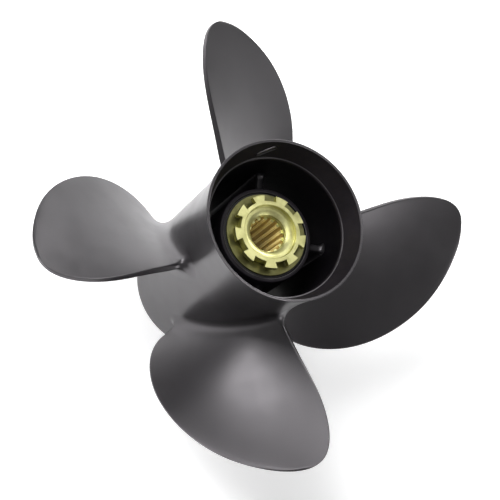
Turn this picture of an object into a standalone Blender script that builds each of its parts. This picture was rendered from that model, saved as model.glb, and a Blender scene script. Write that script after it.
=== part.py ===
"""Four-bladed through-hub-exhaust boat propeller for an outboard motor.

The shaft axis is +Z. The propeller stands on the front rim of its barrel, at z = 0, and the flared
aft end is up. Seen from aft it is a right-hand screw. The casting is built as its barrel, inner hub,
ribs and blades. The brass drive bush sits in a rubber cushion inside the inner hub, and twists a few
degrees in it about the shaft axis.
"""

import math

import bmesh
import bpy
import numpy as np

GAP = 0.0003            # clearance between neighbouring solids
BLADE_COUNT = 4
RIB_COUNT = 4

# Barrel: the outer tube, which carries the blades and the exhaust.
BARREL_LENGTH = 0.1456
BARREL_FRONT_RADIUS = 0.0450
BARREL_WAIST_RADIUS = 0.0462
BARREL_WAIST_Z = 0.102
BARREL_BORE_RADIUS = 0.0427
RIM_RADIUS = 0.0500
RIM_INNER_RADIUS = 0.0483
LEDGE_RADIUS = 0.0437
LEDGE_Z = 0.1311
LEDGE_DEPTH = 0.0012
FLARE_POWER = 1.8       # how late the flare opens
EDGE_BREAK = 0.0005

# Inner hub: the tube that holds the rubber cushion.
HUB_FRONT_Z = 0.012
HUB_AFT_Z = 0.1142
HUB_RADIUS = 0.0297
HUB_BORE_RADIUS = 0.0270
HUB_WALL_Z = 0.020      # back of the front wall, which stops the cushion
HUB_MOUTH_RADIUS = 0.0186

# Ribs between the inner hub and the barrel.
RIB_FIRST_ANGLE = math.radians(-8.5)
RIB_THICKNESS = 0.0046
RIB_FRONT_Z = 0.023
RIB_AFT_Z = 0.104

# Cushion and brass drive bush.
CUSHION_FRONT_Z = 0.024
CUSHION_AFT_Z = 0.1132
SLEEVE_RADIUS = 0.0172
SLEEVE_FRONT_Z = 0.008
SLEEVE_AFT_Z = 0.1162
SPLINE_TEETH = 15
SPLINE_ROOT_RADIUS = 0.0113
SPLINE_TIP_RADIUS = 0.0099
SPLINE_FIRST_ANGLE = math.radians(10.3)
# One spline tooth's corners, as a share of the tooth pitch from its middle, and radius.
SPLINE_CORNERS = [
    (-0.30, SPLINE_ROOT_RADIUS), (-0.15, SPLINE_TIP_RADIUS),
    (0.15, SPLINE_TIP_RADIUS), (0.30, SPLINE_ROOT_RADIUS),
]
THRUST_MOUTH_RADIUS = 0.0138
THRUST_MOUTH_DEPTH = 0.0024
DISC_RADIUS = 0.0257
DISC_THICKNESS = 0.0009
DISC_AFT_Z = 0.1146

# Castellated flange, against which the shaft nut's washer sits.
FLANGE_AFT_Z = 0.1218
FLANGE_TIP_RADIUS = 0.0231
FLANGE_ROOT_RADIUS = 0.0194
FLANGE_TOOTH_HEIGHT = 0.0035
FLANGE_TEETH = 9
FLANGE_SLOT_WIDTH = 0.0078
FLANGE_FIRST_ANGLE = math.radians(23.0)
SINK_RADIUS = 0.0168    # counterbore
SINK_DEPTH = 0.0030
SINK_FALL = 0.0007      # of its floor, from the wall to the shoulder
SHOULDER_RADIUS = 0.0123
SHOULDER_DEPTH = 0.0006     # of the step from the shoulder down into the spline bore
CUTTER_MARGIN = 0.002   # how far the slot cutters reach past the teeth

# Blades. Radii run from the barrel's skin, at BLADE_ROOT_RADIUS, to BLADE_REFERENCE_RADIUS.
BLADE_FIRST_ANGLE = 0.033
BLADE_ROOT_RADIUS = 0.0456
BLADE_REFERENCE_RADIUS = 0.130
PITCH_AT_ROOT = 0.4128
PITCH_GAIN = 0.0208
RAKE_AT_ROOT = 0.0775   # height of the blade's reference line where it meets the barrel
RAKE_SLOPE = 0.0236
RAKE_CURVE = 0.0025
# The blade's expanded outline: distance along the helix (trailing side positive), and radius.
OUTLINE = [
    (0.0183, 0.0436), (0.0217, 0.0757), (0.0260, 0.1078), (0.0169, 0.1377), (-0.0232, 0.1383),
    (-0.0574, 0.1237), (-0.0801, 0.0962), (-0.0766, 0.0657), (-0.0546, 0.0436),
]
ROOT_THICKNESS = 0.0085
TIP_THICKNESS = 0.0030
LEADING_EDGE_THICKNESS = 0.0014
TRAILING_EDGE_THICKNESS = 0.0027
BELLY_POWER = 0.8       # how full the section is between its thin edges
ROOT_FILLET = 0.008

# Facets.
BARREL_SEGMENTS = 72
HUB_SEGMENTS = 56
BUSH_SEGMENTS = 60
CHORD_STEPS = 12
ACROSS_STEPS = 4
SPAN_STEPS = 11
FILLET_STEPS = 3
FILLET_SPACING = 1.5    # above 1 crowds the fillet's stations towards the barrel
TIP_SHARE = 0.9995      # the last station, as a share of the span: the outline has no width at 1
EDGE_PULL_POWER = 5     # keeps the rounding of the section's edges close to them
FLARE_STEPS = 6
RIB_ROUND_STEPS = 6
OUTLINE_SAMPLES = 400
SHARP_ANGLE = math.radians(35)


def clear_scene():
    for thing in list(bpy.data.objects):
        bpy.data.objects.remove(thing, do_unlink=True)


def make_material(name, colour, roughness, metallic):
    material = bpy.data.materials.new(name)
    material.use_nodes = True
    shader = material.node_tree.nodes["Principled BSDF"]
    shader.inputs["Base Color"].default_value = (*colour, 1.0)
    shader.inputs["Roughness"].default_value = roughness
    shader.inputs["Metallic"].default_value = metallic
    return material


def finish_mesh(name, bm, material):
    """Turns a closed bmesh into a named object with smooth round faces and sharp corners."""
    bmesh.ops.recalc_face_normals(bm, faces=bm.faces[:])
    mesh = bpy.data.meshes.new(name)
    bm.to_mesh(mesh)
    bm.free()
    mesh.shade_smooth()
    mesh.set_sharp_from_angle(angle=SHARP_ANGLE)
    mesh.materials.append(material)
    obj = bpy.data.objects.new(name, mesh)
    bpy.context.scene.collection.objects.link(obj)
    return obj


def turned(name, profile, segments, material):
    """Spins a closed (radius, z) outline once round the shaft axis."""
    bm = bmesh.new()
    corners = [bm.verts.new((radius, 0.0, z)) for radius, z in profile]
    sides = [bm.edges.new(pair) for pair in zip(corners, corners[1:] + corners[:1])]
    bmesh.ops.spin(
        bm, geom=corners + sides, cent=(0, 0, 0), axis=(0, 0, 1),
        angle=math.tau, steps=segments, use_merge=True,
    )
    return finish_mesh(name, bm, material)


def polar(radius, angle, z):
    return (radius * math.cos(angle), radius * math.sin(angle), z)


def barrel_radius(z):
    """The barrel's outer radius: a slight taper, then the flare."""
    if z <= BARREL_WAIST_Z:
        share = max(z, 0.0) / BARREL_WAIST_Z
        return BARREL_FRONT_RADIUS + (BARREL_WAIST_RADIUS - BARREL_FRONT_RADIUS) * share
    share = (z - BARREL_WAIST_Z) / (BARREL_LENGTH - BARREL_WAIST_Z)
    return BARREL_WAIST_RADIUS + (RIM_RADIUS - BARREL_WAIST_RADIUS) * share**FLARE_POWER


def make_barrel(material):
    rise = BARREL_LENGTH - BARREL_WAIST_Z
    flare = [BARREL_WAIST_Z + rise * step / FLARE_STEPS for step in range(FLARE_STEPS)]
    outer = [(barrel_radius(z), z) for z in flare]
    profile = [
        (BARREL_BORE_RADIUS + EDGE_BREAK, 0.0),
        (BARREL_FRONT_RADIUS - EDGE_BREAK, 0.0),
        (BARREL_FRONT_RADIUS, EDGE_BREAK),
        *outer,
        (RIM_RADIUS, BARREL_LENGTH - EDGE_BREAK),
        (RIM_RADIUS - EDGE_BREAK / 2, BARREL_LENGTH),
        (RIM_INNER_RADIUS, BARREL_LENGTH),
        (LEDGE_RADIUS, LEDGE_Z),
        (BARREL_BORE_RADIUS, LEDGE_Z - LEDGE_DEPTH),
        (BARREL_BORE_RADIUS, EDGE_BREAK),
    ]
    return turned("barrel", profile, BARREL_SEGMENTS, material)


def make_inner_hub(material):
    profile = [
        (HUB_MOUTH_RADIUS, HUB_FRONT_Z),
        (HUB_RADIUS - EDGE_BREAK, HUB_FRONT_Z),
        (HUB_RADIUS, HUB_FRONT_Z + EDGE_BREAK),
        (HUB_RADIUS, HUB_AFT_Z - EDGE_BREAK),
        (HUB_RADIUS - EDGE_BREAK, HUB_AFT_Z),
        (HUB_BORE_RADIUS, HUB_AFT_Z),
        (HUB_BORE_RADIUS, HUB_WALL_Z),
        (HUB_MOUTH_RADIUS, HUB_WALL_Z),
    ]
    return turned("inner_hub", profile, HUB_SEGMENTS, material)


def rim(grid):
    """The grid's border, once round: its first row, far ends, last row and near ends."""
    far = [row[-1] for row in grid[1:-1]]
    near = [row[0] for row in grid[1:-1]]
    return grid[0] + far + grid[-1][::-1] + near[::-1]


def loft(name, grids, material):
    """Skins the borders of a stack of point grids. The first and the last grid close the ends."""
    bm = bmesh.new()
    rings = []
    for number, grid in enumerate(grids):
        if 0 < number < len(grids) - 1:
            rings.append([bm.verts.new(point) for point in rim(grid)])
            continue
        cap = [[bm.verts.new(point) for point in row] for row in grid]
        for row, next_row in zip(cap, cap[1:]):
            for corners in zip(row, row[1:], next_row[1:], next_row):
                bm.faces.new(corners)
        rings.append(rim(cap))
    for lower, upper in zip(rings, rings[1:]):
        for index in range(len(lower)):
            after = (index + 1) % len(lower)
            bm.faces.new((lower[index], lower[after], upper[after], upper[index]))
    return finish_mesh(name, bm, material)


def make_rib(number, material):
    """A radial wall with round front and aft edges, curved at both ends to the tubes it joins."""
    half = RIB_THICKNESS / 2
    turns = [math.pi * step / RIB_ROUND_STEPS for step in range(RIB_ROUND_STEPS + 1)]
    aft = [(half * math.cos(turn), RIB_AFT_Z - half + half * math.sin(turn)) for turn in turns]
    front = [(across, RIB_FRONT_Z + RIB_AFT_Z - z) for across, z in aft]
    angle = RIB_FIRST_ANGLE + math.tau * number / RIB_COUNT
    # The two tubes are prisms, so their facets come inside the true circle.
    inner = HUB_RADIUS + GAP
    outer = BARREL_BORE_RADIUS * math.cos(math.pi / BARREL_SEGMENTS) - GAP
    grids = []
    for radius in (inner, (inner + outer) / 2, outer):
        rows = [[polar(radius, angle + across / radius, z) for across, z in row] for row in (aft, front)]
        grids.append(rows)
    return loft(f"rib_{number + 1}", grids, material)


def natural_spline(points, samples):
    """A smooth curve through the points, with free ends, by its chord-length parameter."""
    points = np.array(points)
    steps = np.linalg.norm(np.diff(points, axis=0), axis=1)
    knots = np.concatenate([[0.0], np.cumsum(steps)])
    count = len(points)
    system = np.eye(count)
    right = np.zeros((count, 2))
    for index in range(1, count - 1):
        before, after = steps[index - 1], steps[index]
        system[index, index - 1:index + 2] = before, 2 * (before + after), after
        rise_after = (points[index + 1] - points[index]) / after
        rise_before = (points[index] - points[index - 1]) / before
        right[index] = 6 * (rise_after - rise_before)
    bends = np.linalg.solve(system, right)
    places = np.linspace(0.0, knots[-1], samples)
    spans = np.clip(np.searchsorted(knots, places) - 1, 0, count - 2)
    width = steps[spans][:, None]
    ahead = (knots[spans + 1] - places)[:, None]
    behind = (places - knots[spans])[:, None]
    start, end = points[spans], points[spans + 1]
    bend_start, bend_end = bends[spans], bends[spans + 1]
    return (
        (bend_start * ahead**3 + bend_end * behind**3) / (6 * width)
        + (start / width - bend_start * width / 6) * ahead
        + (end / width - bend_end * width / 6) * behind
    )


class Outline:
    """The blade's expanded outline, read as its two edges at a given radius."""

    def __init__(self):
        curve = natural_spline(OUTLINE, OUTLINE_SAMPLES)
        top = int(np.argmax(curve[:, 1]))
        self.tip_radius = float(curve[top, 1])
        self.trailing = curve[:top + 1]
        self.leading = curve[top:][::-1]

    def edges(self, radius):
        leading = np.interp(radius, self.leading[:, 1], self.leading[:, 0])
        trailing = np.interp(radius, self.trailing[:, 1], self.trailing[:, 0])
        return float(leading), float(trailing)


def blade_thickness(radius, share, tip_radius):
    """Thickness at a share of the chord from the leading edge, crowned between thin edges."""
    out = (radius - BLADE_ROOT_RADIUS) / (tip_radius - BLADE_ROOT_RADIUS)
    crown = ROOT_THICKNESS + (TIP_THICKNESS - ROOT_THICKNESS) * out
    edge = LEADING_EDGE_THICKNESS + (TRAILING_EDGE_THICKNESS - LEADING_EDGE_THICKNESS) * share
    return edge + (crown - edge) * (4 * share * (1 - share)) ** BELLY_POWER


def section(radius, outline, flare):
    """The blade section's (along, normal) points, as rows across the thickness.

    flare widens the section all round, for the fillet at the root.
    """
    leading, trailing = outline.edges(radius)
    rows = []
    for across in range(ACROSS_STEPS + 1):
        side = 2 * across / ACROSS_STEPS - 1
        bulge = math.sqrt(1 - side * side)     # rounds the two edges
        row = []
        for step in range(CHORD_STEPS + 1):
            share = (1 - math.cos(math.pi * step / CHORD_STEPS)) / 2
            thick = blade_thickness(radius, share, outline.tip_radius)
            along = leading + (trailing - leading) * share
            pull = bulge * (thick / 2 + flare) - thick / 2
            along += (2 * share - 1) ** EDGE_PULL_POWER * pull
            row.append((along, side * (thick / 2 + flare)))
        rows.append(row)
    return rows


def blade_point(radius, along, normal, angle, seat):
    """Wraps a section point on to its cylinder. With seat, it is put on the barrel's skin instead."""
    out = (radius - BLADE_ROOT_RADIUS) / (BLADE_REFERENCE_RADIUS - BLADE_ROOT_RADIUS)
    pitch = PITCH_AT_ROOT + PITCH_GAIN * out
    lead = math.atan(pitch / (math.tau * radius))
    rake = RAKE_AT_ROOT + RAKE_SLOPE * out + RAKE_CURVE * out * out
    turn = (along * math.cos(lead) - normal * math.sin(lead)) / radius
    z = rake + along * math.sin(lead) + normal * math.cos(lead)
    reach = barrel_radius(z) + GAP if seat else radius
    return polar(reach, angle + turn, z)


def make_blade(number, outline, material):
    angle = BLADE_FIRST_ANGLE + math.tau * number / BLADE_COUNT
    stations = []
    for step in range(FILLET_STEPS):
        height = ROOT_FILLET * (step / FILLET_STEPS) ** FILLET_SPACING
        short = 1 - height / ROOT_FILLET
        flare = ROOT_FILLET * (1 - math.sqrt(1 - short * short))
        stations.append((BLADE_ROOT_RADIUS + height, flare))
    start = BLADE_ROOT_RADIUS + ROOT_FILLET
    for step in range(SPAN_STEPS + 1):
        share = min(math.sin(math.pi / 2 * step / SPAN_STEPS), TIP_SHARE)
        stations.append((start + (outline.tip_radius - start) * share, 0.0))

    grids = []
    for radius, flare in stations:
        seat = radius == BLADE_ROOT_RADIUS
        rows = section(radius, outline, flare)
        grids.append([[blade_point(radius, *point, angle, seat) for point in row] for row in rows])
    return loft(f"blade_{number + 1}", grids, material)


def make_cushion(material):
    inner = SLEEVE_RADIUS + GAP
    outer = HUB_BORE_RADIUS * math.cos(math.pi / HUB_SEGMENTS) - GAP
    profile = [
        (inner, CUSHION_FRONT_Z), (outer, CUSHION_FRONT_Z),
        (outer, CUSHION_AFT_Z), (inner, CUSHION_AFT_Z),
    ]
    return turned("rubber_cushion", profile, HUB_SEGMENTS, material)


def spline_ring():
    """(angle, radius) round the bore: flat-topped teeth that point inwards."""
    pitch = math.tau / SPLINE_TEETH
    ring = []
    for tooth in range(SPLINE_TEETH):
        middle = SPLINE_FIRST_ANGLE + tooth * pitch
        ring += [(middle + share * pitch, radius) for share, radius in SPLINE_CORNERS]
    return ring


def make_sleeve(material):
    """A brass tube, splined inside, with a coned mouth at its front thrust face."""
    ring = spline_ring()
    cone_z = SLEEVE_FRONT_Z + THRUST_MOUTH_DEPTH
    loops = [
        [polar(radius, angle, SLEEVE_AFT_Z) for angle, radius in ring],
        [polar(radius, angle, cone_z) for angle, radius in ring],
        [polar(THRUST_MOUTH_RADIUS, angle, SLEEVE_FRONT_Z) for angle, _ in ring],
        [polar(SLEEVE_RADIUS, angle, SLEEVE_FRONT_Z) for angle, _ in ring],
        [polar(SLEEVE_RADIUS, angle, SLEEVE_AFT_Z) for angle, _ in ring],
    ]
    bm = bmesh.new()
    rings = [[bm.verts.new(point) for point in loop] for loop in loops]
    for ring_a, ring_b in zip(rings, rings[1:] + rings[:1]):
        for index, start in enumerate(ring_a):
            after = (index + 1) % len(ring_a)
            bm.faces.new((start, ring_a[after], ring_b[after], ring_b[index]))
    return finish_mesh("drive_sleeve", bm, material)


def make_disc(material):
    profile = [
        (SLEEVE_RADIUS + GAP, DISC_AFT_Z - DISC_THICKNESS),
        (DISC_RADIUS, DISC_AFT_Z - DISC_THICKNESS),
        (DISC_RADIUS, DISC_AFT_Z),
        (SLEEVE_RADIUS + GAP, DISC_AFT_Z),
    ]
    return turned("end_disc", profile, BUSH_SEGMENTS, material)


def make_flange(material):
    """A collar over the sleeve's end, with teeth round its edge and a counterbore inside."""
    tooth_low_z = FLANGE_AFT_Z - FLANGE_TOOTH_HEIGHT
    shelf_z = SLEEVE_AFT_Z + GAP
    foot_z = DISC_AFT_Z + GAP
    shoulder_z = FLANGE_AFT_Z - SINK_DEPTH - SINK_FALL
    profile = [
        (SLEEVE_RADIUS + GAP, foot_z),
        (FLANGE_ROOT_RADIUS, foot_z),
        (FLANGE_ROOT_RADIUS, tooth_low_z),
        (FLANGE_TIP_RADIUS, tooth_low_z),
        (FLANGE_TIP_RADIUS, FLANGE_AFT_Z - EDGE_BREAK / 2),
        (FLANGE_TIP_RADIUS - EDGE_BREAK / 2, FLANGE_AFT_Z),
        (SINK_RADIUS + EDGE_BREAK / 2, FLANGE_AFT_Z),
        (SINK_RADIUS, FLANGE_AFT_Z - EDGE_BREAK / 2),
        (SINK_RADIUS, FLANGE_AFT_Z - SINK_DEPTH),
        (SHOULDER_RADIUS, shoulder_z),
        (SPLINE_ROOT_RADIUS + GAP, shoulder_z - SHOULDER_DEPTH),
        (SPLINE_ROOT_RADIUS + GAP, shelf_z),
        (SLEEVE_RADIUS + GAP, shelf_z),
    ]
    flange = turned("castellated_flange", profile, BUSH_SEGMENTS, material)

    # One cutter for each slot: a block with parallel sides and a floor on the root circle.
    deep = math.sqrt(FLANGE_ROOT_RADIUS**2 - (FLANGE_SLOT_WIDTH / 2) ** 2)
    long = FLANGE_TIP_RADIUS + CUTTER_MARGIN - deep
    high = FLANGE_TOOTH_HEIGHT + CUTTER_MARGIN
    cutters = bmesh.new()
    for tooth in range(FLANGE_TEETH):
        angle = FLANGE_FIRST_ANGLE + math.tau * (tooth + 0.5) / FLANGE_TEETH
        block = bmesh.ops.create_cube(cutters, size=1.0)["verts"]
        for vert in block:
            radial = deep + (vert.co.x + 0.5) * long
            across = vert.co.y * FLANGE_SLOT_WIDTH
            z = tooth_low_z - CUTTER_MARGIN / 2 + (vert.co.z + 0.5) * high
            cos, sin = math.cos(angle), math.sin(angle)
            vert.co = (radial * cos - across * sin, radial * sin + across * cos, z)
    cutter = finish_mesh("slot_cutter", cutters, material)
    cutter.hide_render = True
    cutter.display_type = "WIRE"
    cut = flange.modifiers.new("slots", "BOOLEAN")
    cut.operation = "DIFFERENCE"
    cut.object = cutter
    return flange


def main():
    clear_scene()
    paint = make_material("cast_paint", (0.075, 0.073, 0.077), 0.38, 0.30)
    brass = make_material("brass", (0.80, 0.72, 0.36), 0.28, 1.0)
    rubber = make_material("rubber", (0.02, 0.02, 0.02), 0.75, 0.0)

    casting = bpy.data.objects.new("casting_frame", None)
    bush = bpy.data.objects.new("cushion_twist_axis", None)
    for empty in (casting, bush):
        bpy.context.scene.collection.objects.link(empty)
    bush.parent = casting

    outline = Outline()
    fixed = [make_barrel(paint), make_inner_hub(paint), make_cushion(rubber)]
    fixed += [make_rib(number, paint) for number in range(RIB_COUNT)]
    fixed += [make_blade(number, outline, paint) for number in range(BLADE_COUNT)]
    for piece in fixed:
        piece.parent = casting
    for piece in (make_sleeve(brass), make_disc(brass), make_flange(brass)):
        piece.parent = bush


main()
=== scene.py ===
import math

import bmesh
import bpy
import numpy as np
from mathutils import Matrix, Vector


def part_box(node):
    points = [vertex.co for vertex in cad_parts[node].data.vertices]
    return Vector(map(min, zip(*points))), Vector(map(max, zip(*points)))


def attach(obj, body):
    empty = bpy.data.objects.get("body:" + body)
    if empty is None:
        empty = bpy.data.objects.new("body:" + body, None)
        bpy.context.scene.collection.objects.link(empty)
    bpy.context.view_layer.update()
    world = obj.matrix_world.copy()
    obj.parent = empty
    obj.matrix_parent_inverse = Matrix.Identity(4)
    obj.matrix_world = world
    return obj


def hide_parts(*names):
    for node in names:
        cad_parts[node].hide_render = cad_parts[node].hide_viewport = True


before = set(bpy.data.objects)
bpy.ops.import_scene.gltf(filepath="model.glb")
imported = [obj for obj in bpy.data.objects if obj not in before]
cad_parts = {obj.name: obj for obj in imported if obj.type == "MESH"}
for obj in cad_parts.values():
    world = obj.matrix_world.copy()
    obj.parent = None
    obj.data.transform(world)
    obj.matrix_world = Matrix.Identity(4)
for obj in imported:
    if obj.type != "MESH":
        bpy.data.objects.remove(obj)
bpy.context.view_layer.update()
print("frame loaded:", len(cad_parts), "nodes")

hair = 0.0001                       # a tenth of a millimetre: gaps and steps that hardly show
sharpFrom = math.radians(38)        # edges that bend more than this stay crisp
mostReach = 0.49                    # of a side, so that the roundings at its two ends never meet


def mixed(low, high, share):
    # works on numbers and on wires
    return low + (high - low) * share


def eased(share):
    return share * share * (3 - 2 * share)


def quarterRound(share):
    # height of a round nose at this share of its length
    return math.sqrt(max(0.0, 1 - (1 - share) ** 2))


class Wire:
    # one output socket of a material, so that shader maths reads as plain arithmetic
    def __init__(self, finish, socket):
        self.finish = finish
        self.socket = socket

    def maths(self, operation, *values):
        sockets = dict(enumerate(values))
        return self.finish.node("ShaderNodeMath", {"operation": operation}, sockets)

    def __add__(self, other):
        return self.maths("ADD", self, other)

    def __radd__(self, other):
        return self.maths("ADD", other, self)

    def __sub__(self, other):
        return self.maths("SUBTRACT", self, other)

    def __rsub__(self, other):
        return self.maths("SUBTRACT", other, self)

    def __mul__(self, other):
        return self.maths("MULTIPLY", self, other)

    def __rmul__(self, other):
        return self.maths("MULTIPLY", other, self)

    def __pow__(self, other):
        return self.maths("POWER", self, other)

    def __rpow__(self, other):
        return self.maths("POWER", other, self)

    def sine(self):
        return self.maths("SINE", self)


class Finish:
    # a material with one Principled shader, and the one method that adds its other nodes
    def __init__(self, name, **constants):
        self.material = bpy.data.materials.new(name)
        self.material.use_nodes = True
        self.tree = self.material.node_tree
        self.shader = self.tree.nodes["Principled BSDF"]
        for socket, value in constants.items():
            self.shader.inputs[socket.replace("_", " ")].default_value = value

    def node(self, kind, settings=None, sockets=None, output=0):
        made = self.tree.nodes.new(kind)
        for key, value in (settings or {}).items():
            if key == "stops":
                self.setStops(made.color_ramp, value)
            else:
                setattr(made, key, value)
        for key, value in (sockets or {}).items():
            if isinstance(value, Wire):
                self.tree.links.new(value.socket, made.inputs[key])
            else:
                made.inputs[key].default_value = value
        return Wire(self, made.outputs[output])

    def setStops(self, ramp, stops):
        for element, (place, shade) in zip(ramp.elements, stops):
            element.position = place
            element.color = (shade, shade, shade, 1)

    def place(self):
        return self.node("ShaderNodeTexCoord", output="Object")

    def noise(self, scale, detail=3.0, roughness=0.55, where=None):
        sockets = {"Vector": where or self.place(), "Scale": scale,
                   "Detail": detail, "Roughness": roughness}
        return self.node("ShaderNodeTexNoise", {}, sockets, "Fac")

    def between(self, value, low, high):
        # 0 below low, 1 above high
        stops = ((low, 0.0), (high, 1.0))
        return self.node("ShaderNodeValToRGB", {"stops": stops}, {"Fac": value})

    def blend(self, mask, first, second):
        sockets = {0: mask, 6: first, 7: second}        # 6 and 7 are its two colours
        return self.node("ShaderNodeMix", {"data_type": "RGBA"}, sockets, 2)

    def feed(self, socket, wire):
        self.tree.links.new(wire.socket, self.shader.inputs[socket])

    def bump(self, height, distance):
        self.feed("Normal", self.node("ShaderNodeBump", {}, {"Height": height, "Distance": distance}))


paintLook = {
    "dark": (0.004, 0.0038, 0.0045, 1),
    "light": (0.010, 0.0093, 0.010, 1),
    "roughness": (0.30, 0.37),
    "ior": 1.80,
    "sheen": (1.0, 0.95, 1.0, 1),       # tint of the gloss
    "cloudScale": 26,
    "speckScale": 900,
    "speckShare": 0.3,                  # of the specks in the shade, against the clouds
    "shadeRange": (0.35, 0.68),
    "driftScale": 60,                   # patches of duller gloss
    "driftRange": (0.3, 0.7),
    "peelHeight": 0.000012,             # of the orange peel, in metres
    "peelScale": 520,
    "peelShare": 0.8,
    "waveScale": 140,
    "waveShare": 0.6,
}
# the inside of the barrel: duller paint, made darker as painted shade inside the barrel
shadedInsideLook = {
    **paintLook,
    "dark": (0.003, 0.0025, 0.0035, 1),
    "light": (0.010, 0.0085, 0.0105, 1),
    "roughness": (0.44, 0.54),
    "ior": 1.34,
    "peelHeight": 0.00002,
}
# deep in the exhaust passages: a still darker copy, painted shade that keeps them nearly black
deepShadeLook = {
    **shadedInsideLook,
    "dark": (0.0006, 0.0005, 0.0008, 1),
    "light": (0.0022, 0.0018, 0.0024, 1),
    "roughness": (0.50, 0.60),
    "ior": 1.22,
}


def makePaint(name, look):
    paint = Finish(name, Metallic=0.0, IOR=look["ior"], Specular_Tint=look["sheen"])
    cloud = paint.noise(look["cloudScale"], 4)
    speck = paint.noise(look["speckScale"], 2)
    shade = paint.between(mixed(cloud, speck, look["speckShare"]), *look["shadeRange"])
    paint.feed("Base Color", paint.blend(shade, look["dark"], look["light"]))
    drift = paint.between(paint.noise(look["driftScale"], 3), *look["driftRange"])
    paint.feed("Roughness", mixed(*look["roughness"], drift))
    peel = paint.noise(look["peelScale"], 2, 0.4) * look["peelShare"]
    wave = paint.noise(look["waveScale"], 2) * look["waveShare"]
    paint.bump(peel + wave, look["peelHeight"])
    return paint.material


def radiusOf(finish):
    # distance from the shaft axis, for turned marks
    across = finish.node("ShaderNodeSeparateXYZ", {}, {0: finish.place()}, "X")
    along = Wire(finish, across.socket.node.outputs["Y"])
    return (across * across + along * along) ** 0.5


brassLook = {
    "bright": (0.86, 0.84, 0.40, 1),
    "dull": (0.64, 0.62, 0.27, 1),
    "roughness": (0.35, 0.46),
    "stainScale": 120,
    "stainRange": (0.38, 0.66),
    "driftScale": 240,      # patches of duller gloss
    "driftRange": (0.3, 0.7),
    "ringPitch": 0.0011,    # one turning mark to the next
    "ringHeight": 0.000006,
    "wander": 5.4,          # how far the marks stray, in radians of their wave
    "wanderScale": 90,
}
discLook = {
    **brassLook,
    "bright": (0.34, 0.33, 0.14, 1),
    "dull": (0.25, 0.24, 0.10, 1),
    "roughness": (0.42, 0.55),
}


def makeBrass(name, look):
    brass = Finish(name, Metallic=1.0)
    stain = brass.between(brass.noise(look["stainScale"], 4, 0.6), *look["stainRange"])
    brass.feed("Base Color", brass.blend(stain, look["bright"], look["dull"]))
    drift = brass.between(brass.noise(look["driftScale"], 3), *look["driftRange"])
    brass.feed("Roughness", mixed(*look["roughness"], drift))
    wander = brass.noise(look["wanderScale"], 2) * look["wander"]
    phase = radiusOf(brass) * (math.tau / look["ringPitch"]) + wander
    brass.bump(phase.sine() * 0.5 + 0.5, look["ringHeight"])
    return brass.material


sleeveLook = {
    "bright": (0.93, 0.80, 0.34, 1),
    "dull": (0.66, 0.52, 0.18, 1),
    # root: painted shade, the darker colour in the grooves between the teeth
    "root": (0.42, 0.30, 0.09, 1),
    "metallic": 0.2,
    "roughness": (0.34, 0.5),
    "streakScale": 1500,
    "streakRange": (0.35, 0.65),
    "streakStretch": (1, 1, 0.03),      # long streaks down the shaft
    "streakHeight": 0.000006,
    "landTo": 0.0101,                   # radius where the worn lands end
    "rootShadeFrom": 0.0111,                 # radius where the painted shade of the roots begins
}


def makeSleeveBrass(name, look):
    # broached teeth: streaks along the shaft on the lands, and darker roots painted as shade in the
    # grooves
    brass = Finish(name, Metallic=look["metallic"])
    stretched = brass.node("ShaderNodeVectorMath", {"operation": "MULTIPLY"},
                           {0: brass.place(), 1: look["streakStretch"]})
    grain = brass.noise(look["streakScale"], 2, 0.5, stretched)
    streak = brass.between(grain, *look["streakRange"])
    # 0 on the lands, 1 in the roots, where the colour is darkened as painted shade
    depth = brass.node("ShaderNodeMapRange", {"interpolation_type": "SMOOTHSTEP"},
                       {0: radiusOf(brass), 1: look["landTo"], 2: look["rootShadeFrom"]})
    worn = brass.blend(streak, look["bright"], look["dull"])
    brass.feed("Base Color", brass.blend(1 - depth, look["root"], worn))
    brass.feed("Roughness", mixed(*look["roughness"], streak))
    brass.bump(streak, look["streakHeight"])
    return brass.material


rubberLook = {
    "dark": (0.008, 0.008, 0.008, 1),
    "light": (0.022, 0.021, 0.020, 1),
    "roughness": (0.5, 0.7),
    "ior": 1.45,
    "grainScale": 700,
    "grainHeight": 0.00003,
}


def makeRubber(name, look):
    rubber = Finish(name, Metallic=0.0, IOR=look["ior"])
    grain = rubber.noise(look["grainScale"], 4)
    rubber.feed("Base Color", rubber.blend(grain, look["dark"], look["light"]))
    rubber.feed("Roughness", mixed(*look["roughness"], grain))
    rubber.bump(grain, look["grainHeight"])
    return rubber.material


castPaint = makePaint("castPaint", paintLook)
# two darker copies of the paint, which paint the shade inside the barrel and deeper in its passages
shadedInsidePaint = makePaint("shadedInsidePaint", shadedInsideLook)
deepShadePaint = makePaint("deepShadePaint", deepShadeLook)
flangeBrass = makeBrass("flangeBrass", brassLook)
discBrass = makeBrass("discBrass", discLook)
splineBrass = makeSleeveBrass("splineBrass", sleeveLook)
cushionRubber = makeRubber("cushionRubber", rubberLook)
print("finishes made")


def polar(radius, angle, z):
    return (radius * math.cos(angle), radius * math.sin(angle), z)


def makePiece(name, bm, material, body, nodes):
    bmesh.ops.recalc_face_normals(bm, faces=bm.faces[:])
    mesh = bpy.data.meshes.new(name)
    bm.to_mesh(mesh)
    bm.free()
    mesh.shade_smooth()
    mesh.set_sharp_from_angle(angle=sharpFrom)
    mesh.materials.append(material)
    piece = bpy.data.objects.new(name, mesh)
    bpy.context.scene.collection.objects.link(piece)
    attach(piece, body)
    if nodes:
        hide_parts(*nodes)
    return piece


def repaint(piece, materials, pick):
    # adds materials after the piece's own, and pick says which number each face has
    for material in materials:
        piece.data.materials.append(material)
    for face in piece.data.polygons:
        face.material_index = pick(face.center, face.normal)


def joinRings(bm, rings, closed=False):
    # skins rings of as many points each; closed also joins the last ring to the first
    followers = rings[1:] + rings[:1] if closed else rings[1:]
    for ring, nextRing in zip(rings, followers):
        for index in range(len(ring)):
            after = (index + 1) % len(ring)
            bm.faces.new((ring[index], ring[after], nextRing[after], nextRing[index]))


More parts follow.
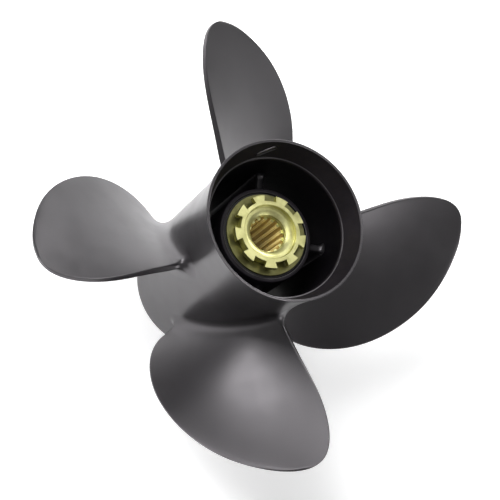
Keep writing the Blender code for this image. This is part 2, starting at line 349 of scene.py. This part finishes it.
def closeAcross(bm, ring):
    # closes a flat end with faces from one long side to the other
    for index in range(1, len(ring) // 2):
        corners = (ring[index], ring[index + 1], ring[-index - 1], ring[-index])
        bm.faces.new(tuple(dict.fromkeys(corners)))
    bm.faces.new((ring[0], ring[1], ring[-1]))


def filletArc(radius, steps):
    # (height, spread) of a fillet, from its foot up to where it runs out
    turns = [math.pi / 2 * step / steps for step in range(steps + 1)]
    return [(radius * (1 - math.cos(turn)), radius * (1 - math.sin(turn))) for turn in turns]


def roundCorners(corners, steps=5):
    # (radius, z, rounding) corners of a closed outline, each turned into a short arc
    points = []
    for index, (radius, z, rounding) in enumerate(corners):
        here = Vector((radius, z))
        if rounding <= 0:
            points.append(tuple(here))
            continue
        before = Vector(corners[index - 1][:2])
        after = Vector(corners[(index + 1) % len(corners)][:2])
        toBefore = (before - here).normalized()
        toAfter = (after - here).normalized()
        shortest = min((before - here).length, (after - here).length)
        reach = min(rounding / math.tan(toBefore.angle(toAfter) / 2), shortest * mostReach)
        start = here + toBefore * reach
        end = here + toAfter * reach
        for step in range(steps + 1):
            share = step / steps
            middle = here * 2 * share * (1 - share)
            points.append(tuple(start * (1 - share) ** 2 + middle + end * share ** 2))
    return points


def turnedMesh(profile, segments):
    bm = bmesh.new()
    rings = []
    for step in range(segments):
        angle = math.tau * step / segments
        rings.append([bm.verts.new(polar(radius, angle, z)) for radius, z in profile])
    joinRings(bm, rings, closed=True)
    return bm


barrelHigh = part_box("barrel")[1]
barrelShape = {
    "length": barrelHigh.z,
    "frontRadius": 0.0450,
    "waistRadius": 0.0462,
    "waistZ": 0.102,
    "rimRadius": barrelHigh.x,
    "flarePower": 1.8,                      # higher opens the flare later
    "boreRadius": 0.0427,
    "rimInner": 0.0483,
    "ledgeRadius": 0.0437,
    "ledgeZ": 0.1311,
    "ledgeLip": (0.0005, 0.0003),           # how far its edge stands in, and its rounding
    "ledgeDrop": 0.0014,                    # from the ledge down its slope to the bore
    "ledgeFoot": 0.0005,                    # rounding at the foot of that slope
    "frontRounding": (0.0008, 0.0012),      # inside and outside
    "rimRounding": 0.0005,
    "rimBand": 0.0014,                      # from the last ring of the flare up to the rim
    "rimGroove": 0.0002,                    # depth of the shallow groove in the rim's face
    "grooveInset": (0.0008, 0.0004),        # from the rim's outer and inner edges
    "insideFrom": 0.001,                    # height where the shaded inside paint begins
    "rimFacing": 0.75,                      # faces that look further aft are painted as outside
    "ledgeBand": 0.0003,                    # faces as near as this to the ledge's height as well
    "deepBelow": 0.0012,                    # under the ledge, where the still darker painted shade of the passages begins
    "wallSteps": 16,
    "flareSteps": 21,
    "segments": 256,
}


def barrelRadius(z, shape=barrelShape):
    if z <= shape["waistZ"]:
        return mixed(shape["frontRadius"], shape["waistRadius"], max(z, 0) / shape["waistZ"])
    share = (z - shape["waistZ"]) / (shape["length"] - shape["waistZ"])
    return mixed(shape["waistRadius"], shape["rimRadius"], share ** shape["flarePower"])


def makeBarrel(shape=barrelShape):
    length, waist, ledge = shape["length"], shape["waistZ"], shape["ledgeZ"]
    rim, rimInner, bore = shape["rimRadius"], shape["rimInner"], shape["boreRadius"]
    insideRounding, outsideRounding = shape["frontRounding"]
    outerInset, innerInset = shape["grooveInset"]
    lipWidth, lipRounding = shape["ledgeLip"]
    groove = length - shape["rimGroove"]
    flareTop = length - shape["rimBand"]
    heights = [waist * step / shape["wallSteps"] for step in range(1, shape["wallSteps"] + 1)]
    heights += [mixed(waist, flareTop, step / shape["flareSteps"])
                for step in range(1, shape["flareSteps"] + 1)]
    corners = [
        (bore, 0.0, insideRounding),
        (shape["frontRadius"], 0.0, outsideRounding),
        *((barrelRadius(z), z, 0) for z in heights),
        (rim, length, shape["rimRounding"]),
        (rim - outerInset + 2 * hair, length, 2 * hair),
        (rim - outerInset, mixed(length, groove, 0.6), hair),
        (rimInner + innerInset, groove, hair),
        (rimInner + innerInset - 1.5 * hair, length, hair),
        (rimInner, length - hair, hair),
        (shape["ledgeRadius"] + hair, ledge + hair, hair),
        (shape["ledgeRadius"] - lipWidth, ledge, lipRounding),
        (bore, ledge - shape["ledgeDrop"], shape["ledgeFoot"]),
    ]
    bm = turnedMesh(roundCorners(corners), shape["segments"])
    piece = makePiece("castBarrel", bm, castPaint, "casting", ["barrel"])

    # inward faces get the shaded inside paint, and those under the ledge the darker deep paint: both
    # are painted shade
    def pick(center, normal):
        inwards = normal.x * center.x + normal.y * center.y < 0
        onLedge = abs(center.z - ledge) < shape["ledgeBand"]
        if inwards and center.z > shape["insideFrom"] and normal.z < shape["rimFacing"] and not onLedge:
            return 2 if center.z < ledge - shape["deepBelow"] else 1
        return 0

    repaint(piece, [shadedInsidePaint, deepShadePaint], pick)


# a small cast oval on the inside of the flare, left blank
ovalShape = {
    "angle": math.radians(94.5),
    "z": 0.1375,
    "length": 0.0130,
    "width": 0.0028,
    "slope": math.radians(30),
    "height": 0.0005,
    "rootDepth": 0.0003,    # how far its foot is let into the wall
    # from the outer foot over the crest to the inner foot: inset and height, as shares
    "section": [(0.0, 0.0), (0.0, 0.5), (0.06, 1.0), (0.34, 1.0), (0.42, 0.5), (0.44, 0.02)],
    "segments": 48,
}


def flareRadius(z, shape=barrelShape):
    share = (z - shape["ledgeZ"]) / (shape["length"] - shape["ledgeZ"])
    return mixed(shape["ledgeRadius"], shape["rimInner"], share)


def makeFlareOval(shape=ovalShape):
    bm = bmesh.new()
    half = shape["width"] / 2
    straight = shape["length"] / 2 - half
    cosine, sine = math.cos(shape["slope"]), math.sin(shape["slope"])
    rings = []
    for inset, lift in shape["section"]:
        ring = []
        radius = half * (1 - inset)
        for step in range(shape["segments"]):
            turn = math.tau * step / shape["segments"]
            along = radius * math.cos(turn) + math.copysign(straight, math.cos(turn))
            across = radius * math.sin(turn)
            z = shape["z"] - along * sine + across * cosine
            skin = flareRadius(z)
            reach = skin - shape["height"] * lift if lift > 0 else skin + shape["rootDepth"]
            around = along * cosine + across * sine
            ring.append(bm.verts.new(polar(reach, shape["angle"] + around / skin, z)))
        rings.append(ring)
    joinRings(bm, rings)
    closeAcross(bm, rings[0])
    closeAcross(bm, rings[-1])
    makePiece("flareOval", bm, castPaint, "casting", [])


makeBarrel()
makeFlareOval()
print("barrel made")


hubLow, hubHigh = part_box("inner_hub")
hubShape = {
    "frontZ": hubLow.z,
    "aftZ": hubHigh.z,
    "radius": hubHigh.x,
    "bore": 0.0270,
    "mouth": 0.0186,
    "wallZ": 0.020,
    "leadIn": 0.003,                        # depth of the bore's slight aft taper
    "frontRounding": (0.0008, 0.0015),      # inside and outside
    "aftRounding": (0.0005, 0.0009),
    "wallRounding": 0.0006,
    "brightDepth": 0.0006,                  # the aft edge round the cushion has the outside paint
    "brightWidth": 0.0008,
    "segments": 192,
}


def makeHub(shape=hubShape):
    front, aft = shape["frontZ"], shape["aftZ"]
    radius, bore, mouth, wall = shape["radius"], shape["bore"], shape["mouth"], shape["wallZ"]
    corners = [
        (mouth, front, shape["frontRounding"][0]),
        (radius, front, shape["frontRounding"][1]),
        (radius, (front + aft) / 2, 0),
        (radius, aft, shape["aftRounding"][1]),
        (bore + hair, aft, shape["aftRounding"][0]),
        (bore, aft - shape["leadIn"], 0),
        (bore, wall, shape["wallRounding"]),
        (mouth, wall, shape["wallRounding"]),
    ]
    bm = turnedMesh(roundCorners(corners), shape["segments"])
    # the hub has the shaded inside paint, painted shade inside the barrel; only its aft edge round the
    # cushion keeps the outside paint
    piece = makePiece("castHub", bm, shadedInsidePaint, "casting", ["inner_hub"])

    def pick(center, _):
        nearBore = math.hypot(center.x, center.y) < bore + shape["brightWidth"]
        return int(nearBore and center.z > aft - shape["brightDepth"])

    repaint(piece, [castPaint], pick)


ribShape = {
    "count": 4,
    "firstAngle": math.radians(-8.5),
    "thickness": 0.0046,
    "frontZ": 0.023,
    "aftZ": 0.104,
    "fillet": 0.0036,
    "flankShare": 0.50,     # the flanks' fillet, as a share of the one at the ends
    "squareness": 0.6,      # below 1 flattens the round front and aft edges
    "shadeDepth": 0.004,    # further in than this, the rib has the shaded inside paint: painted shade
    "filletSteps": 7,
    "arcSteps": 24,
    "sideSteps": 12,
}


def squared(value, power):
    return math.copysign(abs(value) ** power, value)


def makeRib(number, shape=ribShape):
    # a radial wall with round edges, which spreads into the tube at each end
    inner = hubShape["radius"] - hair
    outer = barrelShape["boreRadius"] + hair
    fillet = filletArc(shape["fillet"], shape["filletSteps"])
    stations = [(inner + height, spread) for height, spread in fillet]
    stations += [(outer - height, spread) for height, spread in reversed(fillet)]
    half = shape["thickness"] / 2
    low, high = shape["frontZ"] + half, shape["aftZ"] - half
    angle = shape["firstAngle"] + math.tau * number / shape["count"]
    arc = [math.pi * step / shape["arcSteps"] for step in range(shape["arcSteps"] + 1)]
    power = shape["squareness"]
    edge = [(squared(math.cos(turn), power), squared(math.sin(turn), power)) for turn in arc]
    climb = [step / shape["sideSteps"] for step in range(1, shape["sideSteps"])]
    bm = bmesh.new()
    rings = []
    for radius, spread in stations:
        side = half + spread * shape["flankShare"]
        end = half + spread
        ring = [(side * across, high + end * rise) for across, rise in edge]
        ring += [(-side, mixed(high, low, share)) for share in climb]
        ring += [(-side * across, low - end * rise) for across, rise in edge]
        ring += [(side, mixed(low, high, share)) for share in climb]
        rings.append([bm.verts.new(polar(radius, angle + across / radius, z)) for across, z in ring])
    joinRings(bm, rings)
    for ring in (rings[0], rings[-1]):
        bm.faces.new(ring)
    name = f"castRib{number + 1}"
    piece = makePiece(name, bm, castPaint, "casting", [f"rib_{number + 1}"])
    # below its aft edge, the rib gets the shaded inside paint: painted shade deeper in the barrel
    shadedBelow = shape["aftZ"] - shape["shadeDepth"]
    repaint(piece, [shadedInsidePaint], lambda center, _: int(center.z < shadedBelow))


makeHub()
for number in range(ribShape["count"]):
    makeRib(number)
print("hub and ribs made")


bladeShape = {
    "count": 4,
    "firstAngle": 0.033,
    "rootRadius": 0.0456,
    "referenceRadius": 0.130,
    "pitch": (0.4128, 0.0208),              # at the root, and its gain to the reference radius
    "rake": (0.0775, 0.0236, 0.0025),       # height of the reference line: root, slope, curve
    "thickness": (0.0088, 0.0030),          # root and tip
    "trailing": (0.0042, 0.0026),           # the blunt trailing edge, root and tip
    "leading": (0.0024, 0.0012),
    "crownPower": 0.85,                     # below 1 fills the section out to its edges
    "pressureShare": 0.32,                  # of the crown, on the aft face
    "fillet": 0.0095,
    "rootDepth": 0.0006,                    # how far the root is let into the barrel
    "corner": 0.0005,                       # of the square trailing edge
    "squareFrom": 0.016,                    # height over the root where it is fully square
    "followTo": 0.025,                      # height up to which the blade follows the barrel's taper
    "tipRounding": 0.0016,
    "tipStop": 0.99997,                     # share of the span at the last ring, just short of a point
    "outlineSamples": 1600,
    "chordSteps": 56,
    "capSteps": 6,                          # round each corner of the trailing edge
    "filletSteps": 12,
    "spanSteps": 64,
    # the expanded outline: distance along the helix (trailing side positive), and radius
    "outline": [
        (0.0183, 0.0436), (0.0217, 0.0757), (0.0260, 0.1078), (0.0169, 0.1377), (-0.0232, 0.1383),
        (-0.0574, 0.1237), (-0.0801, 0.0962), (-0.0766, 0.0657), (-0.0546, 0.0436),
    ],
}


def naturalSpline(points, samples):
    # a smooth curve through the points: the natural cubic, by distance from point to point
    points = np.array(points)
    steps = np.linalg.norm(np.diff(points, axis=0), axis=1)
    knots = np.concatenate([[0.0], np.cumsum(steps)])
    count = len(points)
    system = np.eye(count)
    right = np.zeros((count, 2))
    for index in range(1, count - 1):
        before, after = steps[index - 1], steps[index]
        system[index, index - 1:index + 2] = before, 2 * (before + after), after
        riseAfter = (points[index + 1] - points[index]) / after
        riseBefore = (points[index] - points[index - 1]) / before
        right[index] = 6 * (riseAfter - riseBefore)
    bends = np.linalg.solve(system, right)
    places = np.linspace(0.0, knots[-1], samples)
    spans = np.clip(np.searchsorted(knots, places) - 1, 0, count - 2)
    width = steps[spans][:, None]
    ahead = (knots[spans + 1] - places)[:, None]
    behind = (places - knots[spans])[:, None]
    start, end = points[spans], points[spans + 1]
    bendStart, bendEnd = bends[spans], bends[spans + 1]
    return (
        (bendStart * ahead ** 3 + bendEnd * behind ** 3) / (6 * width)
        + (start / width - bendStart * width / 6) * ahead
        + (end / width - bendEnd * width / 6) * behind
    )


outlineCurve = naturalSpline(bladeShape["outline"], bladeShape["outlineSamples"])
tipIndex = int(np.argmax(outlineCurve[:, 1]))
tipRadius = float(outlineCurve[tipIndex, 1])
trailingCurve = outlineCurve[:tipIndex + 1]
leadingCurve = outlineCurve[tipIndex:][::-1]


def chordEnds(radius):
    leading = np.interp(radius, leadingCurve[:, 1], leadingCurve[:, 0])
    trailing = np.interp(radius, trailingCurve[:, 1], trailingCurve[:, 0])
    return float(leading), float(trailing)


def bladeRing(radius, shape=bladeShape):
    # closed section outline, (along, normal): aft face, trailing edge, then the front face back
    leading, trailing = chordEnds(radius)
    height = radius - shape["rootRadius"]
    out = min(max(height / (tipRadius - shape["rootRadius"]), 0.0), 1.0)
    crown = mixed(*shape["thickness"], out)
    trailEdge = mixed(*shape["trailing"], out)
    leadEdge = mixed(*shape["leading"], out)
    tipFade = quarterRound(min(1.0, (tipRadius - radius) / shape["tipRounding"]))
    # the trailing edge is cut square, and rounds off as it runs down into the root
    lift = min(1.0, height / shape["squareFrom"])
    corner = mixed(trailEdge * mostReach, shape["corner"], eased(lift))
    end = trailing - corner
    chord = end - leading
    upper, lower = [], []
    for step in range(shape["chordSteps"] + 1):
        share = (1 - math.cos(math.pi * step / shape["chordSteps"])) / 2
        edge = mixed(leadEdge, trailEdge, share)
        belly = max(0.0, crown - edge) * (4 * share * (1 - share)) ** shape["crownPower"]
        nose = quarterRound(min(1.0, chord * share / (leadEdge / 2))) * tipFade
        along = leading + chord * share
        upper.append((along, (edge / 2 + belly * shape["pressureShare"]) * nose))
        lower.append((along, -(edge / 2 + belly * (1 - shape["pressureShare"])) * nose))
    flat = (trailEdge / 2 - corner) * tipFade
    cap = []
    for step in range(1, shape["capSteps"] + 1):
        turn = math.pi / 2 * step / shape["capSteps"]
        cap.append((end + corner * math.sin(turn), flat + corner * tipFade * math.cos(turn)))
    middle = [(trailing, flat * share) for share in (0.5, 0.0, -0.5)]
    under = [(along, -normal) for along, normal in reversed(cap)]
    return upper + cap + middle + under + lower[:0:-1]


def spreadOut(ring, distance):
    # moves a closed section outline outwards, for the root fillet
    if distance <= 0:
        return ring
    points = np.array(ring)
    tangent = np.roll(points, -1, axis=0) - np.roll(points, 1, axis=0)
    tangent /= np.linalg.norm(tangent, axis=1)[:, None]
    outward = np.stack([-tangent[:, 1], tangent[:, 0]], axis=1)
    return [tuple(point) for point in points + outward * distance]


def bladePoint(height, along, normal, angle, shape=bladeShape):
    # wraps a section point on to its cylinder; near the root the cylinder follows the barrel
    radius = shape["rootRadius"] + height
    out = height / (shape["referenceRadius"] - shape["rootRadius"])
    pitch = shape["pitch"][0] + shape["pitch"][1] * out
    lead = math.atan(pitch / (math.tau * radius))
    rake = shape["rake"][0] + shape["rake"][1] * out + shape["rake"][2] * out * out
    turn = (along * math.cos(lead) - normal * math.sin(lead)) / radius
    z = rake + along * math.sin(lead) + normal * math.cos(lead)
    fade = min(1.0, max(0.0, height) / shape["followTo"])
    radius += (barrelRadius(z) - shape["rootRadius"]) * (1 - eased(fade))
    return polar(radius, angle + turn, z)


def makeBlade(number, shape=bladeShape):
    fillet = shape["fillet"]
    span = tipRadius - shape["rootRadius"] - fillet
    stations = [(-shape["rootDepth"], fillet), *filletArc(fillet, shape["filletSteps"])]
    for step in range(1, shape["spanSteps"] + 1):
        share = math.sin(math.pi / 2 * step / shape["spanSteps"])
        stations.append((fillet + span * min(share, shape["tipStop"]), 0.0))
    angle = shape["firstAngle"] + math.tau * number / shape["count"]
    bm = bmesh.new()
    rings = []
    for height, spread in stations:
        ring = spreadOut(bladeRing(shape["rootRadius"] + max(height, 0.0)), spread)
        rings.append([bm.verts.new(bladePoint(height, *point, angle)) for point in ring])
    joinRings(bm, rings)
    closeAcross(bm, rings[0])
    closeAcross(bm, rings[-1])
    name = f"castBlade{number + 1}"
    makePiece(name, bm, castPaint, "casting", [f"blade_{number + 1}"])


for number in range(bladeShape["count"]):
    makeBlade(number)
print("blades made, tip radius", round(tipRadius, 4))


cushionLow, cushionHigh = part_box("rubber_cushion")
sleeveLow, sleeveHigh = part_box("drive_sleeve")
cushionShape = {
    "frontZ": cushionLow.z,
    "aftZ": cushionHigh.z,
    "inner": sleeveHigh.x + hair,
    "outer": hubShape["bore"] - 0.5 * hair,
    "innerRounding": 0.0004,
    "outerRounding": (0.0008, 0.0005),      # front and aft
    "segments": 160,
}


def makeCushion(shape=cushionShape):
    inner, outer, front, aft = shape["inner"], shape["outer"], shape["frontZ"], shape["aftZ"]
    corners = [
        (inner, front, shape["innerRounding"]), (outer, front, shape["outerRounding"][0]),
        (outer, aft, shape["outerRounding"][1]), (inner, aft, shape["innerRounding"]),
    ]
    bm = turnedMesh(roundCorners(corners), shape["segments"])
    makePiece("cushionRing", bm, cushionRubber, "casting", ["rubber_cushion"])


discLow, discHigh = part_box("end_disc")
discShape = {
    "frontZ": discLow.z,
    "aftZ": discHigh.z,
    "inner": sleeveHigh.x + 2 * hair,
    "outer": discHigh.x,
    "dish": 0.00035,                # half of what its rim stands over its middle
    "rounding": (0.0002, 0.0003),   # of the rim, front and aft
    "segments": 192,
}


def makeDisc(shape=discShape):
    inner, outer, front, aft = shape["inner"], shape["outer"], shape["frontZ"], shape["aftZ"]
    corners = [
        (inner, front, 0), (outer, front, shape["rounding"][0]),
        (outer, aft + shape["dish"], shape["rounding"][1]), (inner, aft - shape["dish"], 0),
    ]
    bm = turnedMesh(roundCorners(corners, 3), shape["segments"])
    makePiece("brassDisc", bm, discBrass, "drive_bush", ["end_disc"])


sleeveShape = {
    "frontZ": sleeveLow.z,
    "aftZ": sleeveHigh.z,
    "radius": sleeveHigh.x,
    "teeth": 15,
    "root": 0.0113,
    "tip": 0.0099,
    "firstAngle": math.radians(10.3),
    "teethDepth": 0.0024,       # from the sleeve's end down to the ends of its teeth
    "chamfer": 0.0002,          # of the bore's mouth and of the ends of the teeth
    "rounding": 0.0005,         # of the front end's outer edge
    "thrustMouth": 0.0138,      # the front end is coned from here down to the teeth
    "thrustLip": 0.0003,
    "coneDepth": 0.0034,
    "coneFoot": 0.0118,
    "teethFrom": 0.004,
    "lengthSteps": 9,
}


def makeSleeve(shape=sleeveShape):
    pitch = math.tau / shape["teeth"]
    root, tip, edge = shape["root"], shape["tip"], shape["chamfer"]
    # one tooth's outline, as shares of the pitch: root land, flank, rounded tip, flank
    tooth = [(-0.50, root), (-0.38, root), (-0.28, root), (-0.26, root - edge), (-0.21, tip + edge),
             (-0.19, tip), (-0.07, tip), (0.07, tip), (0.19, tip), (0.21, tip + edge),
             (0.26, root - edge), (0.28, root), (0.38, root)]
    bore = []
    for number in range(shape["teeth"]):
        middle = shape["firstAngle"] + number * pitch
        bore += [(middle + share * pitch, radius) for share, radius in tooth]
    low, high, outer = shape["frontZ"], shape["aftZ"], shape["radius"]
    mouth, lip, rounding = shape["thrustMouth"], shape["thrustLip"], shape["rounding"]
    teethLow, teethHigh = low + shape["teethFrom"], high - shape["teethDepth"]

    def splineRing(z, grow=0.0):
        return [polar(min(radius + grow, root), angle, z) for angle, radius in bore]

    def plainRing(radius, z):
        return [polar(radius, angle, z) for angle, _ in bore]

    climb = [step / shape["lengthSteps"] for step in range(shape["lengthSteps"] + 1)]
    loops = [
        plainRing(root + edge, high), plainRing(root, high - edge), plainRing(root, teethHigh + hair),
        splineRing(teethHigh, edge),
        *(splineRing(mixed(teethHigh - edge, teethLow, share)) for share in climb),
        plainRing(shape["coneFoot"], low + shape["coneDepth"]), plainRing(mouth, low + lip),
        plainRing(mouth + lip, low), plainRing(outer - rounding, low),
        plainRing(outer, low + rounding), plainRing(outer, high),
    ]
    bm = bmesh.new()
    rings = [[bm.verts.new(point) for point in loop] for loop in loops]
    joinRings(bm, rings, closed=True)
    piece = makePiece("splineSleeve", bm, splineBrass, "drive_bush", ["drive_sleeve"])
    repaint(piece, [flangeBrass], lambda center, _: int(center.z > teethHigh - hair))


flangeLow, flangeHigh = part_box("castellated_flange")
flangeShape = {
    "footZ": flangeLow.z,
    "aftZ": flangeHigh.z,
    "tip": 0.0231,
    "root": 0.0194,
    "toothHeight": 0.0035,
    "teeth": 9,
    "slot": 0.0078,
    "firstAngle": math.radians(23.0),
    "edge": 0.0002,             # rounding of the teeth
    "footInset": 0.0003,        # of the collar under the teeth
    "face": 0.0186,             # radius inside the slots where the aft face is plain
    "spokeShare": 0.72,         # of the turn over a tooth, on the plain circles
    "sink": 0.0168,
    "sinkDepth": 0.0030,
    "sinkEdge": 0.0003,
    "sinkBand": 0.0009,         # depth of the ring that keeps the sink's edge crisp
    "cone": 0.0143,             # where the sink's flat floor turns down to the splines
    "coneSlope": 0.52,
    "bore": 0.0117,
    "arcSteps": 8,
    "sideSteps": 4,
}


def coneHeight(radius, shape=flangeShape):
    return shape["aftZ"] - shape["sinkDepth"] - (shape["cone"] - radius) * shape["coneSlope"]


def flangeOutline(shape=flangeShape):
    # plan of the toothed rim, round once: tooth tips on arcs, slots with parallel sides.
    # Each point is (radius, angle) and the angle of its partner on the plain circles.
    tip, root, half = shape["tip"], shape["root"], shape["slot"] / 2
    pitch = math.tau / shape["teeth"]
    tipTurn = pitch / 2 - math.asin(half / tip)
    rootTurn = pitch / 2 - math.asin(half / root)
    plainTurn = rootTurn * shape["spokeShare"]
    arcSteps, sideSteps = shape["arcSteps"], shape["sideSteps"]
    outline = []
    for number in range(shape["teeth"]):
        middle = shape["firstAngle"] + number * pitch
        gap = middle + pitch / 2
        for step in range(arcSteps + 1):
            share = step / arcSteps * 2 - 1
            outline.append((tip, middle + tipTurn * share, middle + plainTurn * share))
        for step in range(1, sideSteps + 1):
            share = step / sideSteps
            radius = mixed(tip, root, share)
            partner = middle + mixed(plainTurn, rootTurn, share)
            outline.append((radius, gap - math.asin(half / radius), partner))
        for step in range(1, sideSteps):
            angle = gap + (pitch / 2 - rootTurn) * (step / sideSteps * 2 - 1)
            outline.append((root, angle, angle))
        for step in range(sideSteps):
            share = step / sideSteps
            radius = mixed(root, tip, share)
            partner = gap + pitch / 2 - mixed(rootTurn, plainTurn, share)
            outline.append((radius, gap + math.asin(half / radius), partner))
    return outline


def makeFlange(shape=flangeShape):
    outline = flangeOutline()
    bm = bmesh.new()

    def toothedRing(inset, z):
        return [bm.verts.new(polar(radius - inset, angle, z)) for radius, angle, _ in outline]

    def plainRing(radius, z):
        return [bm.verts.new(polar(radius, angle, z)) for _, _, angle in outline]

    aft, foot, edge = shape["aftZ"], shape["footZ"], shape["edge"]
    toothLow = aft - shape["toothHeight"]
    footRadius = shape["root"] - shape["footInset"]
    sink, sinkFloor, sinkEdge = shape["sink"], aft - shape["sinkDepth"], shape["sinkEdge"]
    cone, bore = shape["cone"], shape["bore"]
    halfway = mixed(cone, bore, 0.5)
    shelf = sleeveShape["aftZ"] + 2 * hair
    collar = sleeveShape["radius"] + 2 * hair
    rings = [
        plainRing(collar, foot), plainRing(footRadius, foot), plainRing(footRadius, toothLow),
        toothedRing(edge, toothLow), toothedRing(0, toothLow + edge),
        toothedRing(0, aft - edge), toothedRing(edge, aft),
        plainRing(shape["face"], aft), plainRing(sink + sinkEdge, aft),
        plainRing(sink, aft - sinkEdge), plainRing(sink, aft - shape["sinkBand"]),
        plainRing(sink, sinkFloor + sinkEdge), plainRing(sink - sinkEdge, sinkFloor),
        plainRing(cone + sinkEdge, sinkFloor), plainRing(cone, sinkFloor - 0.5 * hair),
        plainRing(halfway, coneHeight(halfway)),
        plainRing(bore + hair, coneHeight(bore)), plainRing(bore, coneHeight(bore) - hair),
        plainRing(bore, shelf), plainRing(collar, shelf),
    ]
    joinRings(bm, rings, closed=True)
    makePiece("brassFlange", bm, flangeBrass, "drive_bush", ["castellated_flange"])


makeCushion()
makeDisc()
makeSleeve()
makeFlange()
print("bush made")


floorLook = {
    "size": 3.0,
    "dark": (0.86, 0.86, 0.865, 1),
    "light": (0.88, 0.88, 0.885, 1),
    "roughness": 0.9,
    "gloss": 0.1,
    "glow": 0.48,           # keeps the paper white outside the lamps' reach
    "grainScale": 30,
}


def makeFloor(look=floorLook):
    bm = bmesh.new()
    bmesh.ops.create_grid(bm, x_segments=1, y_segments=1, size=look["size"])
    mesh = bpy.data.meshes.new("paleFloor")
    bm.to_mesh(mesh)
    bm.free()
    floor = bpy.data.objects.new("paleFloor", mesh)
    bpy.context.scene.collection.objects.link(floor)
    pale = Finish("palePaper", Roughness=look["roughness"], Specular_IOR_Level=look["gloss"],
                  Emission_Color=(1, 1, 1, 1), Emission_Strength=look["glow"])
    grain = pale.noise(look["grainScale"], 3)
    pale.feed("Base Color", pale.blend(grain, look["dark"], look["light"]))
    mesh.materials.append(pale.material)


# azimuth and elevation from the object in degrees, width, height, power,
# whether it lights matt surfaces, whether it shows in gloss
lampShapes = {
    "leftBox": (139, 26, 0.42, 0.72, 7.2, True, True),
    "leftHighBox": (150, 60, 0.36, 0.36, 3.9, True, True),
    "farBox": (45, 27, 0.55, 0.55, 12.2, False, True),
    "rightBox": (-54, 27, 0.62, 0.62, 4.3, False, True),
    "lowBox": (0, 8, 0.55, 0.55, 0.9, False, True),
    "topBox": (56, 52, 0.70, 0.70, 2.5, False, True),
    "floorKey": (138, 48, 0.90, 0.90, 28.0, True, False),
}
# a narrow beam down the bore
beamShape = {
    "azimuth": -147,
    "elevation": 62,
    "spread": math.radians(9.0),
    "softness": 0.6,
    "size": 0.12,
    "power": 48.0,
}
lampDistance = 1.4
lampAim = 0.07          # height that every lamp points at
worldStrength = 0.27


def placeLamp(lamp, azimuth, elevation):
    holder = bpy.data.objects.new(lamp.name, lamp)
    turn, rise = math.radians(azimuth), math.radians(elevation)
    away = Vector((math.cos(turn) * math.cos(rise), math.sin(turn) * math.cos(rise), math.sin(rise)))
    holder.location = Vector((0, 0, lampAim)) + away * lampDistance
    holder.rotation_euler = away.to_track_quat("Z", "Y").to_euler()
    bpy.context.scene.collection.objects.link(holder)
    return holder


def makeLamps():
    for name, (azimuth, elevation, width, height, power, onMatt, inGloss) in lampShapes.items():
        lamp = bpy.data.lights.new(name, "AREA")
        lamp.shape = "RECTANGLE"
        lamp.size = width
        lamp.size_y = height
        lamp.energy = power
        holder = placeLamp(lamp, azimuth, elevation)
        holder.visible_diffuse = onMatt
        holder.visible_glossy = inGloss


def makeBeam(shape=beamShape):
    beam = bpy.data.lights.new("boreBeam", "SPOT")
    beam.spot_size = shape["spread"]
    beam.spot_blend = shape["softness"]
    beam.shadow_soft_size = shape["size"]
    beam.energy = shape["power"]
    placeLamp(beam, shape["azimuth"], shape["elevation"]).visible_glossy = False


def makeWorld():
    world = bpy.data.worlds.new("studioAir")
    world.use_nodes = True
    background = world.node_tree.nodes["Background"]
    background.inputs["Color"].default_value = (1.0, 1.0, 1.0, 1)
    background.inputs["Strength"].default_value = worldStrength
    bpy.context.scene.world = world


cameraPlace = {
    "aim": (0.0003, -0.0017, 0.0876),
    "distance": 0.870,
    "azimuth": math.radians(-57.525),
    "elevation": math.radians(61.848),
    "roll": math.radians(53.548),
    "lens": 100.8,
    "sensor": 36,
    "nearest": 0.01,
}


def makeCamera(place=cameraPlace):
    azimuth, elevation = place["azimuth"], place["elevation"]
    back = Vector((
        math.sin(azimuth) * math.cos(elevation), -math.cos(azimuth) * math.cos(elevation),
        math.sin(elevation),
    ))
    data = bpy.data.cameras.new("studioCamera")
    data.lens = place["lens"]
    data.sensor_width = place["sensor"]
    data.clip_start = place["nearest"]
    camera = bpy.data.objects.new("studioCamera", data)
    bpy.context.scene.collection.objects.link(camera)
    turned = back.to_track_quat("Z", "Y").to_matrix() @ Matrix.Rotation(place["roll"], 3, "Z")
    stand = Vector(place["aim"]) + back * place["distance"]
    camera.matrix_world = Matrix.Translation(stand) @ turned.to_4x4()
    bpy.context.scene.camera = camera


makeFloor()
makeLamps()
makeBeam()
makeWorld()
makeCamera()
bpy.context.scene.view_settings.view_transform = "Standard"
print("studio made")
